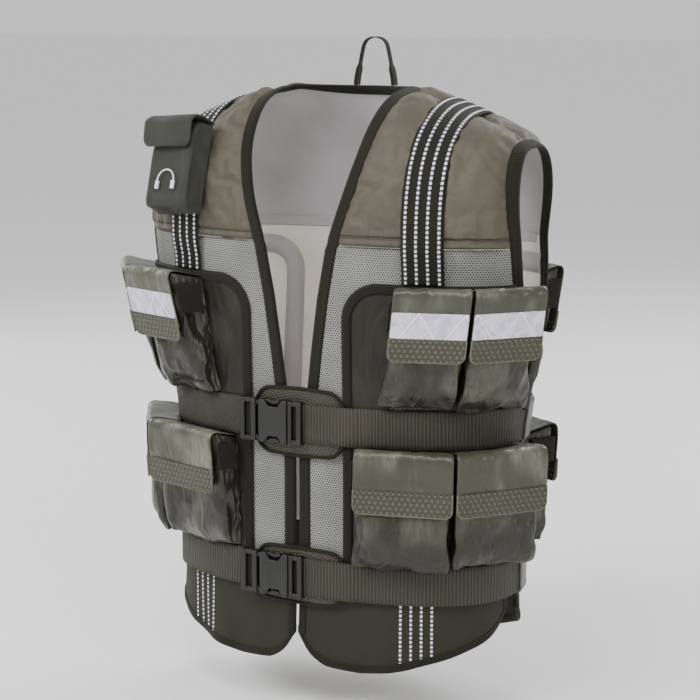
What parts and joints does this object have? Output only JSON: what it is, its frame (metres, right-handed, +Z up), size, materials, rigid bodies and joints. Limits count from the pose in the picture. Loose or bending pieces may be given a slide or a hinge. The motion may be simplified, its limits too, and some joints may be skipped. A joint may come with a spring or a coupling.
{
  "type": "weighted vest",
  "caption": "Padded weighted training vest with mesh panels, flapped weight pockets, two buckled belts, reflective shoulder straps and a short skirt.",
  "frame": {"origin": "midway between the shoulders, level with the shoulder ridge under the straps", "axes": "+Z up, -Y towards the vest's front, +X towards the wearer's left"},
  "size_m": [0.518, 0.3005, 0.649],
  "materials": {
    "yoke_satin": "satin-faced padded cloth",
    "spacer_mesh": "knitted spacer mesh",
    "binding_tape": "folded woven tape",
    "strap_webbing": "black webbing with dashed reflective cords",
    "belt_webbing": "ribbed webbing",
    "skirt_cloth": "dark matt cloth",
    "panel_nylon": "thin nylon",
    "pocket_nylon": "thin shiny nylon",
    "flap_nylon": "nylon with an embossed tab",
    "tab_cloth": "padded mesh cloth",
    "buckle_plastic": "moulded plastic",
    "pouch_neoprene": "foamed rubber faced with cloth"
  },
  "bodies": {
    "root": {"front_yoke_left": "yoke_satin", "front_mesh_left": "spacer_mesh", "armhole_binding_left": "binding_tape", "shoulder_strap_left": "strap_webbing", "front_skirt_left": "skirt_cloth", "front_pocket_panel_left": "panel_nylon", "back_pocket_panel_left": "panel_nylon", "upper_front_pocket_left_a": "pocket_nylon", "upper_front_flap_left_a": "flap_nylon", "upper_front_pocket_left_b": "pocket_nylon", "upper_front_flap_left_b": "flap_nylon", "upper_back_pocket_left_a": "pocket_nylon", "upper_back_flap_left_a": "flap_nylon", "upper_back_pocket_left_b": "pocket_nylon", "upper_back_flap_left_b": "flap_nylon", "lower_front_pocket_left_a": "pocket_nylon", "lower_front_flap_left_a": "flap_nylon", "lower_front_pocket_left_b": "pocket_nylon", "lower_front_flap_left_b": "flap_nylon", "lower_back_pocket_left_a": "pocket_nylon", "lower_back_flap_left_a": "flap_nylon", "lower_back_pocket_left_b": "pocket_nylon", "lower_back_flap_left_b": "flap_nylon", "front_yoke_right": "yoke_satin", "front_mesh_right": "spacer_mesh", "armhole_binding_right": "binding_tape", "shoulder_strap_right": "strap_webbing", "front_skirt_right": "skirt_cloth", "front_pocket_panel_right": "panel_nylon", "back_pocket_panel_right": "panel_nylon", "upper_front_pocket_right_a": "pocket_nylon", "upper_front_flap_right_a": "flap_nylon", "upper_front_pocket_right_b": "pocket_nylon", "upper_front_flap_right_b": "flap_nylon", "upper_back_pocket_right_a": "pocket_nylon", "upper_back_flap_right_a": "flap_nylon", "upper_back_pocket_right_b": "pocket_nylon", "upper_back_flap_right_b": "flap_nylon", "lower_front_pocket_right_a": "pocket_nylon", "lower_front_flap_right_a": "flap_nylon", "lower_front_pocket_right_b": "pocket_nylon", "lower_front_flap_right_b": "flap_nylon", "lower_back_pocket_right_a": "pocket_nylon", "lower_back_flap_right_a": "flap_nylon", "lower_back_pocket_right_b": "pocket_nylon", "lower_back_flap_right_b": "flap_nylon", "back_yoke": "yoke_satin", "back_mesh": "spacer_mesh", "neck_binding": "binding_tape", "back_skirt": "skirt_cloth", "upper_belt": "belt_webbing", "upper_buckle": "buckle_plastic", "upper_buckle_tab": "tab_cloth", "lower_belt": "belt_webbing", "lower_buckle": "buckle_plastic", "lower_buckle_tab": "tab_cloth", "belt_tail": "belt_webbing", "hanging_loop": "belt_webbing", "music_pouch": "pouch_neoprene", "music_pouch_flap": "pouch_neoprene"}
  },
  "joints": []
}
